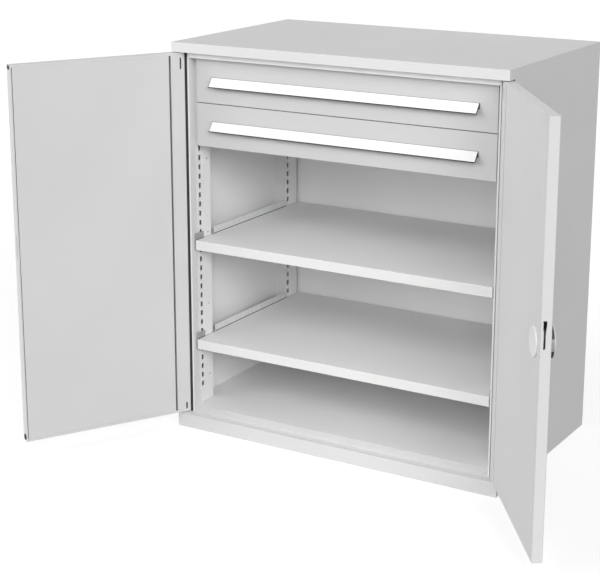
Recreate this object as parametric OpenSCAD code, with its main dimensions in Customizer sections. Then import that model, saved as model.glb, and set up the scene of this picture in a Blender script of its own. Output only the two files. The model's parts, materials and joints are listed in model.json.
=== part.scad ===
// Two-door tool cabinet of folded sheet steel: two drawers at the top, two hanging shelves below.
// Millimetres. X to the right, Y to the back, Z up; the origin lies on the floor under the middle
// of the body. The doors stand open at rest, the drawers are closed.

/* [Body] */
// Overall width of the body
body_w = 900; // [760:10:1200]
// Overall depth of the body, from the door faces to the back
body_d = 545; // [500:5:700]
// Overall height of the body
body_h = 1000; // [900:10:1600]
// Sheet thickness of the body
sheet = 1.5; // [1:0.25:2]
// Height of the nose at the front of the top
nose_h = 24; // [20:1:40]
// Height of the plinth at the front
plinth_h = 36; // [30:1:60]
// How far the floor stands above the plinth
floor_up = 20; // [16:1:30]
// Height of the rail under the nose
rail_h = 16; // [12:1:24]
// How far the nose and the plinth stand in front of the side panels
frame_deep = 33; // [32:0.5:40]
// Width of the folded edges round the back
back_flange = 18; // [14:1:24]

/* [Stiles and posts] */
// Depth of the door stops, measured from the door faces
stop_deep = 25; // [24.5:0.5:27]
// Distance from the outside to the inner face of a stile
stile_w = 33.5; // [32:0.5:36]
// Width of the narrow door stop on a stile
stop_w = 4.5; // [4:0.5:6]
// Depth at which the slotted posts begin
post_front = 52; // [48:1:58]
// Distance from the outside to the inner face of a post
post_w = 38; // [37:0.5:44]
// Depth of a post, front to back
post_d = 54; // [50:1:60]
// Gap behind the rear posts
rear_post_gap = 12; // [6:1:20]
// Vertical pitch of the slots
slot_pitch = 24; // [20:1:30]
// Height of a slot
slot_h = 13; // [10:0.5:15]
// Length of a slot, front to back
slot_l = 9; // [8:0.5:10]
// Distance from the front of a post to its slots
slot_edge = 2.5; // [2:0.5:4]
// Diameter of the small holes beside the slots
pilot_d = 5; // [3:0.5:6]

/* [Shelves] */
// Height of the lower shelf's surface above the floor
lower_shelf_z = 231; // [200:1:260]
// How many slots the upper shelf hangs above the lower one
shelf_steps = 11; // [9:1:12]
// Height of a shelf's folded edge
shelf_t = 25; // [20:1:35]
// Depth at which the shelves begin
shelf_front = 33.5; // [30:0.5:38]
// Width of the fold under a shelf's front edge
shelf_hem = 14; // [8:1:20]
// Clearance between a shelf and its hangers
shelf_gap = 0.5; // [0.3:0.1:1]
// Height of the hanger's rim above the shelf
hanger_up = 18; // [12:1:20]
// Width of the foot under the shelf
hanger_foot = 14; // [10:1:20]
// Length of the hook at the front of a hanger
hook_l = 34; // [28:1:36]
// Where the rim behind the hook begins
rim_start = 118; // [112:1:150]

/* [Doors] */
// Thickness of a door
door_t = 23; // [22:0.5:24]
// Sheet thickness of the doors
door_sheet = 1.2; // [1:0.1:1.5]
// Clearance beside the doors at the outside
door_side_gap = 1; // [0.5:0.5:2]
// Clearance of each door from the middle
door_mid_gap = 1.5; // [1:0.5:3]
// Clearance above and below the doors
door_end_gap = 2.5; // [2:0.5:4]
// How far the left door stands open at rest
left_open = 119.5; // [60:0.5:150]
// How far the right door stands open at rest
right_open = 125.5; // [60:0.5:150]
// Distance from a door's hinge edge to its pivot
pivot_edge = 11; // [10:0.5:12]
// Depth of the pivot behind the door face
pivot_deep = 15; // [13:0.5:16]
// Radius of the door's outer corner at the hinge
hinge_corner_r = 4; // [4:0.5:6]
// Radius of the door's outer corner at the free edge
free_corner_r = 2; // [1:0.5:3]
// Width of the door's folded rim at its top and bottom
rim_w = 7; // [6:0.5:9]
// Width of the door's folded rim at its sides
side_rim_w = 3; // [2:0.5:4]
// Width of the strip at the hinge
hinge_strip_w = 36.4; // [30:0.2:40]
// Width of the groove between that strip and the inner sheet
hinge_groove_w = 5.4; // [3:0.2:7]
// Width of the groove along the free edge
free_groove_w = 2; // [1:0.5:3]
// Depth of the folds beside the grooves
groove_fold = 6; // [4:0.5:6]
// Width of the plugs in the left door's free edge
plug_w = 16; // [14:0.5:18]
// Height of the upper plug
plug_h = 10; // [8:0.5:10]

/* [Hinge pins] */
// Diameter of a hinge pin
pin_d = 8; // [6:0.5:10]
// Length of a hinge pin inside the door
pin_l = 18; // [14:1:22]
// Radial running clearance of the hinge pins
pin_play = 0.05; // [0.02:0.01:0.1]
// Outer diameter of the bushes
bush_d = 12; // [11:0.5:13]
// Height of the bushes
bush_h = 15; // [12:1:16]
// Width of the slots in front of the hinge pins
sight_w = 4; // [3:0.5:5]
// Height of the upper slot
sight_top_h = 28; // [20:1:32]
// Height of the lower slot
sight_bottom_h = 18; // [14:1:24]

/* [Lock] */
// Height of the lock above the floor
lock_z = 503; // [470:1:540]
// Distance from the free edge to the lock's axis
lock_edge = 57; // [54:1:64]
// Diameter of the round dish
dish_d = 72; // [66:1:76]
// How far the dish stands out from the door
dish_out = 14; // [8:0.5:15]
// Diameter of the hollow in the dish
dish_in_d = 60; // [56:1:62]
// Width of the grip bar across the dish
grip_bar_w = 26; // [20:1:28]
// Diameter of the cap on the inside of the door
cap_d = 67; // [60:1:72]
// Thickness of that cap
cap_t = 3.5; // [2.5:0.5:4]
// Diameter of the handle's shaft
shaft_d = 10; // [8:0.5:12]
// Distance of the cam pins from the shaft
cam_r = 13; // [12:0.5:14]
// Diameter of the cam pins
cam_pin_d = 5; // [4:0.5:5]
// Diameter of the locking rods
rod_d = 6; // [5:0.5:6]
// Sheet thickness of the flat ends of the rods
rod_flat = 2; // [1.5:0.25:2]
// Width of those flat ends
rod_flat_w = 8; // [6:0.5:9]
// Radial clearance of the rods in their guides
rod_play = 0.35; // [0.3:0.05:0.5]
// How far the rods stay inside the door when drawn back
rod_back = 3; // [2:0.5:5]
// Height of the slot in the free edge, above the lock's axis
bolt_slot_h = 59; // [50:1:64]
// Width of that slot
bolt_slot_w = 4.4; // [4:0.2:6]
// Thickness of the bolt
bolt_t = 2.2; // [1.8:0.1:2.2]
// Clearance between the cam pins and the slots they drive
cam_play = 0.8; // [0.6:0.1:1]

/* [Drawers] */
// Height of a drawer front
drawer_front_h = 108; // [90:1:120]
// Gap between the rail and the upper drawer
drawer_top_gap = 3; // [2:0.5:6]
// Gap between the drawer fronts
drawer_gap = 2; // [1.5:0.5:4]
// Depth at which the drawer fronts stand
drawer_front_deep = 43; // [41:0.5:46]
// Thickness of a drawer front
drawer_front_t = 18; // [12:1:20]
// Gap beside the drawer fronts, to the posts
drawer_side_gap = 6; // [3:0.5:10]
// Sheet thickness of the drawers
drawer_sheet = 1.2; // [1:0.1:1.5]
// Height of a drawer's tray
tray_h = 82; // [60:1:88]
// How far the tray stands above the lower edge of its front
tray_up = 10; // [6:1:12]
// Width of the rim on the back of a drawer front
front_rim = 14; // [12:1:20]
// Width of the rolled edge along the tray's walls
tray_hem = 3; // [2:0.5:4]
// Gap between the drawers and the back panel
drawer_back_gap = 41; // [38:1:120]

/* [Drawer grips] */
// Length of a grip
grip_l = 722; // [500:2:760]
// Distance from the top of the front to the grip
grip_top = 43; // [30:1:50]
// Height of the sloping grip
grip_h = 22; // [18:1:26]
// How far the grip stands out from the front
grip_out = 16.5; // [12:0.5:16.5]
// Sheet thickness of the grip
grip_sheet = 1.5; // [1:0.1:2]

/* [Runners] */
// Height of the fixed runner
runner_h = 45; // [40:1:50]
// Thickness of the whole runner
runner_t = 12.7; // [12.5:0.1:13.5]
// Sheet thickness of the runners
runner_sheet = 1.2; // [1:0.1:1.4]
// Clearance between the runner's parts
runner_play = 0.8; // [0.6:0.05:0.9]

/* [Hidden] */
half_w = body_w / 2;
front = -body_d / 2;
inner_x = half_w - sheet;
stile_x = half_w - stile_w;
post_x = half_w - post_w;
rear_post_front = body_d - 2 * sheet - rear_post_gap - post_d;
back_in = body_d - 2 * sheet;
nose_z = body_h - nose_h;
top_in = body_h - sheet;
floor_z = plinth_h + floor_up;
rail_z = nose_z - rail_h;
stile_fold = 15;
rail_flange = 15;
base_flange = rear_post_gap - 1;
support_w = 60;
support_flange = 15;
floor_fold = 15;

upper_shelf_z = lower_shelf_z + shelf_steps * slot_pitch;
shelf_x = post_x - sheet - shelf_gap;
shelf_back = back_in - 4;
slot_low = lower_shelf_z - slot_h - 5 * slot_pitch;
slot_count = 27;
pilot_step = 8 * slot_pitch;
pilot_up = 23;
pilot_low = slot_low + pilot_up;
pilot_edge = 40;
tab_up = 10;
tab_down = 2;
tab_out = 3;
hook_up = 17;
hook_front = 3;
rim_end = rear_post_front - 6;

door_x0 = door_mid_gap;
door_x1 = half_w - door_side_gap;
door_z0 = plinth_h + door_end_gap;
door_z1 = nose_z - door_end_gap;
pivot_x = door_x1 - pivot_edge;
strip_x = door_x1 - hinge_strip_w;
liner_x0 = door_x0 + side_rim_w + free_groove_w;
liner_x1 = strip_x - hinge_groove_w;
window_z0 = door_z0 + rim_w;
window_z1 = door_z1 - rim_w;
skin_y = door_t - door_sheet;
tab_h = 5;
tab_in = 120;
sight_edge = 12.5;
sight_top = 6;
plug_out = 0.8;
plug_in = 4;
plug_y = 12.5;
plug_low = 10.5;
plug_high = 6;
stem_less = 3;
hang_hole_d = 7.5;
hang_hole_in = 23;
hang_hole_y = 10;

pin_head_d = pin_d + 4;
pin_head_h = 2;
collar_gap = 0.3;

lock_x = door_x0 + lock_edge;
lower_rod_x = lock_x - cam_r;
upper_rod_x = lock_x + cam_r;
pin_near = cam_r * sin(45);
dish_floor = 1;
sleeve_d = shaft_d + 6;
sleeve_in = 7;
handle_t = 6;
handle_gap = 0.7;
cam_y = 9;
cam_t = 3;
cam_rim = 5;
bolt_y = 15;
rod_y = 17.6;
rod_pin_end = rod_y + 1.8;
bolt_pin_end = bolt_y + bolt_t / 2;
slot_wall = 4;
case_d = 62;
case_gap = 1;
flat_end = 45;
guide_w = 18;
guide_h = 12;
cylinder_d = 14;
cylinder_l = 5;
cylinder_out = 0.5;
key_w = 2.2;
key_l = 8;
key_deep = 3;
access_d = 50;
bolt_low = 3;
bolt_high = 42;
bolt_head_x = 24;
arm_low = 18;
arm_high = 24;
wide_slot_h = 10;
wide_slot_w = 8.5;
slot_taper_h = 15;
rod_hole_l = 16;
rod_hole_w = 10;

front_x = post_x - drawer_side_gap;
upper_front_z = rail_z - drawer_top_gap - drawer_front_h;
lower_front_z = upper_front_z - drawer_gap - drawer_front_h;
tray_y = drawer_front_deep + drawer_front_t;
drawer_end = back_in - drawer_back_gap;
tray_x = post_x - runner_t;
hem_h = 6;
grip_leg = 14;
runner_y = tray_y + 3;
runner_up = tray_up + tray_h / 2;
fixed_flange = 10.5;
middle_flange = 11;
middle_in = runner_sheet + runner_play;
inner_flange = 8.7;
rod_hole = rod_d + 2 * rod_play;
hook_in = 7;
hook_w = 6;
hook_roof = 6;
cut_past = 1;

body_grey = [0.79, 0.79, 0.79];
inside_grey = [0.80, 0.80, 0.80];
door_grey = [0.80, 0.81, 0.81];
shelf_white = [0.93, 0.93, 0.93];
zinc = [0.62, 0.63, 0.64];
steel = [0.50, 0.51, 0.52];
black = [0.10, 0.10, 0.11];
grip_white = [0.95, 0.95, 0.95];
plastic_grey = [0.78, 0.78, 0.78];

$fn = 96;

// Depths are measured from the door faces towards the back.
module placed() {
  translate([0, front, 0])
    children();
}

module block(low, high) {
  translate(low)
    cube(high - low);
}

module both_sides() {
  children();
  mirror([1, 0, 0])
    children();
}

// A folded sheet: the path is its visible face and the sheet lies to the right of it.
function unit(v) = v / norm(v);
function right_of(v) = [v[1], -v[0]];
function leg(path, i) = unit(path[i + 1] - path[i]);
function inner_point(path, i, t) =
  let (a = right_of(leg(path, max(i - 1, 0))), b = right_of(leg(path, min(i, len(path) - 2))))
  path[i] + t * (a + b) / (1 + a * b);

module folded(path, t) {
  back_path = [for (i = [len(path) - 1 : -1 : 0]) inner_point(path, i, t)];
  polygon(concat(path, back_path));
}

module upright(path, t, low, high) {
  translate([0, 0, low])
    linear_extrude(height = high - low)
      folded(path, t);
}

// A profile drawn as [depth, height] that runs from x = -half to x = half.
module crosswise(half) {
  translate([-half, 0, 0])
    rotate([90, 0, 90])
      linear_extrude(height = 2 * half)
        children();
}

module round_bar(x, y, d, low, high) {
  translate([x, y, low])
    cylinder(d = d, h = high - low);
}

// A round bar that lies along the depth.
module deep_bar(x, z, d, low, high) {
  translate([x, high, z])
    rotate([90, 0, 0])
      cylinder(d = d, h = high - low);
}

// --- Body ---------------------------------------------------------------------------

module top_panel() {
  color(body_grey)
    placed()
      difference() {
        union() {
          block([-half_w, 0, top_in], [half_w, frame_deep, body_h]);
          block([-inner_x, frame_deep, top_in], [inner_x, body_d, body_h]);
          block([-half_w, 0, nose_z], [half_w, sheet, body_h]);
          block([-half_w, 0, nose_z], [half_w, stop_deep, nose_z + sheet]);
          both_sides()
            block([inner_x, 0, nose_z], [half_w, frame_deep, body_h]);
          block([-inner_x, body_d - sheet, body_h - back_flange], [inner_x, body_d, body_h]);
        }
        both_sides()
          round_bar(pivot_x, pivot_deep, pin_d, nose_z - 1, nose_z + sheet + 1);
        rod_hole(upper_rod_x, nose_z);
      }
}

// The rods of the lock enter these oval holes when the doors are shut.
module rod_hole(x, z) {
  straight = (rod_hole_l - rod_hole_w) / 2;
  for (side = [-1, 1])
    round_bar(x + side * straight, rod_y, rod_hole_w, z - 2, z + 3);
  block([x - straight, rod_y - rod_hole_w / 2, z - 2], [x + straight, rod_y + rod_hole_w / 2, z + 3]);
}

module top_rail() {
  color(body_grey)
    placed()
      crosswise(stile_x)
        folded([
          [stop_deep + rail_flange + sheet, rail_z], [stop_deep, rail_z],
          [stop_deep, top_in], [stop_deep + rail_flange + sheet, top_in]
        ], sheet);
}

module plinth() {
  ledge_z = plinth_h - sheet;
  color(body_grey)
    placed()
      difference() {
        union() {
          block([-half_w, 0, 0], [half_w, sheet, plinth_h]);
          block([-half_w, 0, ledge_z], [half_w, stop_deep, plinth_h]);
          block([-half_w, 0, 0], [half_w, stop_deep, sheet]);
          both_sides()
            block([inner_x, 0, 0], [half_w, frame_deep, plinth_h]);
        }
        both_sides()
          round_bar(pivot_x, pivot_deep, pin_d, ledge_z - 1, plinth_h + 1);
        rod_hole(lower_rod_x, ledge_z);
      }
}

module floor_panel() {
  floor_low = floor_z - sheet;
  color(inside_grey)
    placed() {
      difference() {
        block([-inner_x, post_front, floor_low], [inner_x, back_in, floor_z]);
        both_sides()
          for (y = [post_front, rear_post_front])
            block([post_x, y - 1, floor_low - 1], [half_w, y + post_d, floor_z + 1]);
      }
      block([-stile_x, stop_deep, floor_low], [stile_x, post_front, floor_z]);
      block([-stile_x, stop_deep, plinth_h - sheet], [stile_x, stop_deep + sheet, floor_z]);
      both_sides()
        block(
          [inner_x - sheet, post_front + post_d, floor_low - floor_fold],
          [inner_x, rear_post_front, floor_z]
        );
    }
}

// A channel under the middle of the floor; it stands on the ground.
module floor_support() {
  high = floor_z - 2 * sheet;
  half = support_w / 2;
  color(zinc)
    crosswise(post_x)
      folded([
        [half + support_flange, high], [half, high], [half, 0],
        [-half, 0], [-half, high], [-half - support_flange, high]
      ], sheet);
}

module rear_base_rail() {
  high = floor_z - sheet;
  color(body_grey)
    placed()
      crosswise(inner_x)
        folded([
          [back_in - base_flange, high], [back_in + sheet, high],
          [back_in + sheet, 0], [back_in - base_flange, 0]
        ], sheet);
}

module back_panel() {
  color(inside_grey)
    placed()
      block([-inner_x, back_in, floor_z - sheet], [inner_x, back_in + sheet, top_in]);
}

module side_panel() {
  block([inner_x, frame_deep, 0], [half_w, body_d, body_h]);
  block([half_w - back_flange, body_d - sheet, 0], [half_w, body_d, body_h - back_flange]);
}

module right_side_panel() {
  color(body_grey)
    placed()
      side_panel();
}

module left_side_panel() {
  color(body_grey)
    mirror([1, 0, 0])
      placed()
        side_panel();
}

// The stile closes the gap behind the hinge edge of the door and stops the door.
module stile() {
  upright([
    [inner_x, frame_deep], [stile_x + stop_w, frame_deep], [stile_x + stop_w, stop_deep],
    [stile_x, stop_deep], [stile_x, post_front], [stile_x + stile_fold, post_front]
  ], sheet, 0, top_in);
}

module right_stile() {
  color(body_grey)
    placed()
      stile();
}

module left_stile() {
  color(body_grey)
    mirror([1, 0, 0])
      placed()
        stile();
}

module post(y) {
  difference() {
    upright([
      [inner_x, y], [post_x, y], [post_x, y + post_d], [inner_x, y + post_d]
    ], sheet, 0, top_in);
    for (i = [0 : slot_count - 1])
      translate([post_x - 1, y + slot_edge, slot_low + i * slot_pitch])
        cube([sheet + 2, slot_l, slot_h]);
    for (i = [0 : 3])
      translate([post_x - 1, y + pilot_edge, pilot_low + i * pilot_step])
        rotate([0, 90, 0])
          cylinder(d = pilot_d, h = sheet + 2);
  }
}

module front_right_post() {
  color(inside_grey)
    placed()
      post(post_front);
}

module front_left_post() {
  color(inside_grey)
    mirror([1, 0, 0])
      placed()
        post(post_front);
}

module rear_right_post() {
  color(inside_grey)
    placed()
      post(rear_post_front);
}

module rear_left_post() {
  color(inside_grey)
    mirror([1, 0, 0])
      placed()
        post(rear_post_front);
}

// --- Shelves ------------------------------------------------------------------------

// A shelf is one sheet with all four edges folded down and the long ones folded under.
module shelf(z) {
  low = z - shelf_t;
  placed() {
    crosswise(shelf_x)
      folded([
        [shelf_front + shelf_hem, low], [shelf_front, low], [shelf_front, z],
        [shelf_back, z], [shelf_back, low], [shelf_back - shelf_hem, low]
      ], sheet);
    both_sides()
      block(
        [shelf_x - sheet, shelf_front + sheet, low],
        [shelf_x, shelf_back - sheet, z - sheet]
      );
  }
}

module upper_shelf() {
  color(shelf_white)
    shelf(upper_shelf_z);
}

module lower_shelf() {
  color(shelf_white)
    shelf(lower_shelf_z);
}

// A hanger hooks into the slots of two posts; the shelf lies on its foot.
module hanger(z) {
  web_x = post_x - sheet;
  low = z - shelf_t;
  placed() {
    block(
      [web_x, shelf_front + hook_front, low - sheet],
      [post_x, rear_post_front + post_d, z]
    );
    block(
      [post_x - hanger_foot, shelf_front + hook_front, low - sheet],
      [post_x, rear_post_front + post_d, low]
    );
    block([web_x, shelf_front + hook_front, z], [post_x, shelf_front + hook_front + hook_l, z + hook_up]);
    block([web_x, rim_start, z], [post_x, rim_end, z + hanger_up]);
    for (y = [post_front, rear_post_front])
      block(
        [post_x, y + slot_edge + 0.5, z - tab_up - tab_down],
        [post_x + tab_out, y + slot_edge + slot_l - 0.5, z - tab_down]
      );
  }
}

module upper_right_hanger() {
  color(zinc)
    hanger(upper_shelf_z);
}

module upper_left_hanger() {
  color(zinc)
    mirror([1, 0, 0])
      hanger(upper_shelf_z);
}

module lower_right_hanger() {
  color(zinc)
    hanger(lower_shelf_z);
}

module lower_left_hanger() {
  color(zinc)
    mirror([1, 0, 0])
      hanger(lower_shelf_z);
}

// --- Hinge pins ---------------------------------------------------------------------

module hinge_pins() {
  ledge_z = plinth_h - sheet;
  color(steel)
    placed()
      both_sides() {
        round_bar(pivot_x, pivot_deep, pin_d, door_z1 - pin_l, nose_z + sheet + pin_head_h);
        round_bar(pivot_x, pivot_deep, pin_head_d, nose_z + sheet, nose_z + sheet + pin_head_h);
        round_bar(pivot_x, pivot_deep, pin_d, ledge_z - pin_head_h, door_z0 + pin_l);
        round_bar(pivot_x, pivot_deep, pin_head_d, ledge_z - pin_head_h, ledge_z);
        round_bar(pivot_x, pivot_deep, pin_head_d, plinth_h, door_z0 - collar_gap);
      }
}

// --- Doors --------------------------------------------------------------------------

// Both doors are drawn shut as the right one and swung open about their pins.
module swung(angle) {
  translate([pivot_x, front + pivot_deep, 0])
    rotate([0, 0, angle])
      translate([-pivot_x, -pivot_deep, 0])
        children();
}

module on_right_door() {
  swung(right_open)
    children();
}

module on_left_door() {
  mirror([1, 0, 0])
    swung(left_open)
      children();
}

// The door's outline, shrunk by the same amount on every side.
module door_body(less) {
  hinge_r = hinge_corner_r - less;
  free_r = free_corner_r - less;
  x0 = door_x0 + less;
  x1 = door_x1 - less;
  z0 = door_z0 + less;
  z1 = door_z1 - less;
  y1 = door_t - less;
  block([x0 + free_r, less, z0], [x1 - hinge_r, y1, z1]);
  block([x0, less + free_r, z0], [x0 + free_r, y1, z1]);
  block([x1 - hinge_r, less + hinge_r, z0], [x1, y1, z1]);
  round_bar(x0 + free_r, less + free_r, 2 * free_r, z0, z1);
  round_bar(x1 - hinge_r, less + hinge_r, 2 * hinge_r, z0, z1);
}

module door_shell() {
  difference() {
    door_body(0);
    door_body(door_sheet);
    block(
      [door_x0 + side_rim_w, skin_y - 1, window_z0],
      [door_x1 - door_sheet, door_t + 1, window_z1]
    );
    for (z = [door_z0, door_z1])
      round_bar(pivot_x, pivot_deep, bush_d, z - 2, z + 2);
    block(
      [door_x0 - 1, bolt_y - bolt_slot_w / 2, lock_z],
      [door_x0 + door_sheet + 1, bolt_y + bolt_slot_w / 2, lock_z + bolt_slot_h]
    );
  }
}

// The upper end of the bolt slot is wide and tapers down to the slot's own width.
module wide_slot() {
  top = lock_z + bolt_slot_h;
  wide = wide_slot_w / 2;
  narrow = bolt_slot_w / 2;
  taper_top = top - wide_slot_h;
  translate([door_x0, 0, 0])
    crosswise(2 * door_sheet)
      polygon([
        [bolt_y - wide, top], [bolt_y - wide, taper_top],
        [bolt_y - narrow, taper_top - slot_taper_h],
        [bolt_y + narrow, taper_top - slot_taper_h],
        [bolt_y + wide, taper_top], [bolt_y + wide, top]
      ]);
}

module right_door_shell() {
  color(door_grey)
    on_right_door()
      difference() {
        door_shell();
        deep_bar(lock_x, lock_z, sleeve_d, -cut_past, door_sheet + cut_past);
        wide_slot();
        round_bar(upper_rod_x, rod_y, rod_hole, door_z1 - door_sheet - cut_past, door_z1 + cut_past);
        round_bar(
          door_x0 + hang_hole_in, hang_hole_y, hang_hole_d,
          door_z1 - door_sheet - cut_past, door_z1 + cut_past
        );
        round_bar(lower_rod_x, rod_y, rod_hole, door_z0 - cut_past, door_z0 + door_sheet + cut_past);
      }
}

module left_door_shell() {
  color(door_grey)
    on_left_door()
      difference() {
        door_shell();
        plug_pair(door_x0 - 1, stem_less, door_sheet + 2);
      }
}

// The inner sheet, with folds along the grooves and tabs behind the rims.
module door_liner() {
  fold_y = door_t - groove_fold;
  upright([
    [liner_x0, fold_y], [liner_x0, door_t], [liner_x1, door_t], [liner_x1, fold_y]
  ], door_sheet, window_z0, window_z1);
  for (z = [window_z0, window_z1])
    block(
      [door_x0 + tab_in, skin_y - door_sheet, z - tab_h],
      [liner_x1 - hinge_strip_w, skin_y, z + tab_h]
    );
}

module right_door_liner() {
  color(door_grey)
    on_right_door()
      difference() {
        door_liner();
        deep_bar(lock_x, lock_z, access_d, skin_y - 1, door_t + 1);
      }
}

module left_door_liner() {
  color(door_grey)
    on_left_door()
      door_liner();
}

module hinge_strip() {
  fold_y = door_t - groove_fold;
  side_x = door_x1 - door_sheet;
  sight_x = door_x1 - sight_edge;
  difference() {
    upright([
      [strip_x, fold_y], [strip_x, door_t], [side_x, door_t], [side_x, fold_y]
    ], door_sheet, window_z0, window_z1);
    block(
      [sight_x, skin_y - 1, window_z1 - sight_top - sight_top_h],
      [sight_x + sight_w, door_t + 1, window_z1 - sight_top]
    );
    block(
      [sight_x, skin_y - 1, window_z0 - 1],
      [sight_x + sight_w, door_t + 1, window_z0 + sight_bottom_h]
    );
  }
}

module right_hinge_strip() {
  color(door_grey)
    on_right_door()
      hinge_strip();
}

module left_hinge_strip() {
  color(door_grey)
    on_left_door()
      hinge_strip();
}

// One round bar or, where it is wider than high, an oval one, lying along X.
module plug_round(x, z, w, h, l) {
  translate([x, plug_y, z])
    rotate([0, 90, 0])
      if (w > h) {
        for (side = [-1, 1])
          translate([0, side * (w - h) / 2, 0])
            cylinder(d = h, h = l);
        translate([-h / 2, -(w - h) / 2, 0])
          cube([h, w - h, l]);
      } else {
        cylinder(d = h, h = l);
      }
}

// The two holes or plugs of the free edge: an oval one above and a round one below.
module plug_pair(x, less, l) {
  plug_round(x, door_z1 - plug_high, plug_w - less, plug_h - less, l);
  plug_round(x, door_z0 + plug_low, plug_w - less, plug_w - less, l);
}

module door_plugs() {
  color(black)
    on_left_door() {
      plug_pair(door_x0 - plug_out, 0, plug_out);
      plug_pair(door_x0 - plug_out, stem_less, plug_out + plug_in);
    }
}

module hinge_bushes() {
  bore = pin_d + 2 * pin_play;
  for (z = [door_z0, door_z1 - bush_h])
    difference() {
      round_bar(pivot_x, pivot_deep, bush_d, z, z + bush_h);
      round_bar(pivot_x, pivot_deep, bore, z - 1, z + bush_h + 1);
    }
}

module right_hinge_bushes() {
  color(black)
    on_right_door()
      hinge_bushes();
}

module left_hinge_bushes() {
  color(black)
    on_left_door()
      hinge_bushes();
}

// --- Lock ---------------------------------------------------------------------------

module lock_dish() {
  bore = shaft_d + 2 * pin_play;
  color(plastic_grey)
    on_right_door()
      difference() {
        union() {
          deep_bar(lock_x, lock_z, dish_d, -dish_out, 0);
          deep_bar(lock_x, lock_z, sleeve_d, -dish_floor, sleeve_in);
        }
        deep_bar(lock_x, lock_z, dish_in_d, -dish_out - 1, -dish_floor);
        deep_bar(lock_x, lock_z, bore, -dish_floor - 1, sleeve_in + 1);
      }
}

module lock_cap() {
  color(grip_white)
    on_right_door()
      translate([lock_x, door_t, lock_z])
        rotate([-90, 0, 0]) {
          cylinder(d = cap_d, h = cap_t - 1);
          translate([0, 0, cap_t - 1])
            cylinder(d1 = cap_d, d2 = cap_d - 2, h = 1);
        }
}

// The round case keeps the inner and outer sheets apart; rods and bolt pass its gaps.
module lock_case() {
  reach = case_d / 2 + 1;
  flat_half = rod_flat_w / 2 + case_gap;
  color(zinc)
    on_right_door()
      difference() {
        deep_bar(lock_x, lock_z, case_d, door_sheet, skin_y);
        deep_bar(lock_x, lock_z, case_d - 2 * sheet, 0, door_t);
        block(
          [upper_rod_x - flat_half, cam_y, lock_z],
          [upper_rod_x + flat_half, door_t, lock_z + reach]
        );
        block(
          [lower_rod_x - flat_half, cam_y, lock_z - reach],
          [lower_rod_x + flat_half, door_t, lock_z]
        );
        block(
          [lock_x - reach, cam_y, lock_z + arm_low - case_gap],
          [lock_x - cam_r, door_t, lock_z + arm_high + case_gap]
        );
      }
}

module rod_guides() {
  bore = rod_hole;
  half = guide_w / 2;
  color(black)
    on_right_door() {
      difference() {
        block(
          [upper_rod_x - half, door_sheet, door_z1 - door_sheet - guide_h],
          [upper_rod_x + half, skin_y, door_z1 - door_sheet]
        );
        round_bar(upper_rod_x, rod_y, bore, door_z1 - door_sheet - guide_h - cut_past, door_z1);
      }
      difference() {
        block(
          [lower_rod_x - half, door_sheet, door_z0 + door_sheet],
          [lower_rod_x + half, skin_y, door_z0 + door_sheet + guide_h]
        );
        round_bar(lower_rod_x, rod_y, bore, door_z0, door_z0 + door_sheet + guide_h + cut_past);
      }
    }
}

// The grip bar lies across the dish and turns the shaft behind it.
module lock_handle() {
  bore = cylinder_d + 2 * pin_play;
  half = grip_bar_w / 2;
  reach = dish_in_d / 2;
  color(plastic_grey)
    on_right_door()
      difference() {
        union() {
          intersection() {
            deep_bar(lock_x, lock_z, dish_in_d - 2 * handle_gap, -dish_out, handle_t - dish_out);
            block(
              [lock_x - reach, -dish_out, lock_z - half],
              [lock_x + reach, handle_t - dish_out, lock_z + half]
            );
          }
          deep_bar(lock_x, lock_z, shaft_d, handle_t - dish_out, cam_y + cam_t);
        }
        deep_bar(lock_x, lock_z, bore, -dish_out - 1, cylinder_l + 0.5 - dish_out);
      }
}

module lock_cam() {
  color(zinc)
    on_right_door() {
      difference() {
        deep_bar(lock_x, lock_z, 2 * (cam_r + cam_rim), cam_y, cam_y + cam_t);
        deep_bar(lock_x, lock_z, shaft_d, cam_y - 1, cam_y + cam_t + 1);
      }
      deep_bar(lock_x - pin_near, lock_z + pin_near, cam_pin_d, cam_y + cam_t, rod_pin_end);
      deep_bar(lock_x + pin_near, lock_z - pin_near, cam_pin_d, cam_y + cam_t, rod_pin_end);
      deep_bar(lock_x + pin_near, lock_z + pin_near, cam_pin_d, cam_y + cam_t, bolt_pin_end);
    }
}

module lock_cylinder() {
  color(zinc)
    on_right_door()
      difference() {
        deep_bar(lock_x, lock_z, cylinder_d, -dish_out - cylinder_out, cylinder_l - dish_out);
        block(
          [lock_x - key_w / 2, -dish_out - 1, lock_z - key_l / 2],
          [lock_x + key_w / 2, key_deep - dish_out, lock_z + key_l / 2]
        );
      }
}

// The flat end of a rod, with the cross slot that the cam pin drives.
module rod_end(x, side, pin_z) {
  near = pin_near - cam_pin_d / 2 - cam_play;
  far = cam_r + cam_pin_d / 2 + cam_play;
  half_h = cam_pin_d / 2 + cam_play;
  low_y = rod_y - rod_flat / 2;
  high_y = rod_y + rod_flat / 2;
  middle = lock_x + side * (near + far) / 2;
  half_w_slot = (far - near) / 2;
  difference() {
    block(
      [middle - half_w_slot - slot_wall, low_y, pin_z - half_h - slot_wall],
      [middle + half_w_slot + slot_wall, high_y, pin_z + half_h + slot_wall]
    );
    block(
      [middle - half_w_slot, low_y - 1, pin_z - half_h],
      [middle + half_w_slot, high_y + 1, pin_z + half_h]
    );
  }
}

module upper_rod() {
  pin_z = lock_z - pin_near;
  half = rod_flat_w / 2;
  color(zinc)
    on_right_door() {
      rod_end(upper_rod_x, 1, pin_z);
      block(
        [upper_rod_x - half, rod_y - rod_flat / 2, pin_z + cam_pin_d / 2 + cam_play],
        [upper_rod_x + half, rod_y + rod_flat / 2, lock_z + flat_end]
      );
      round_bar(upper_rod_x, rod_y, rod_d, lock_z + flat_end - rod_flat, door_z1 - rod_back);
    }
}

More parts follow.
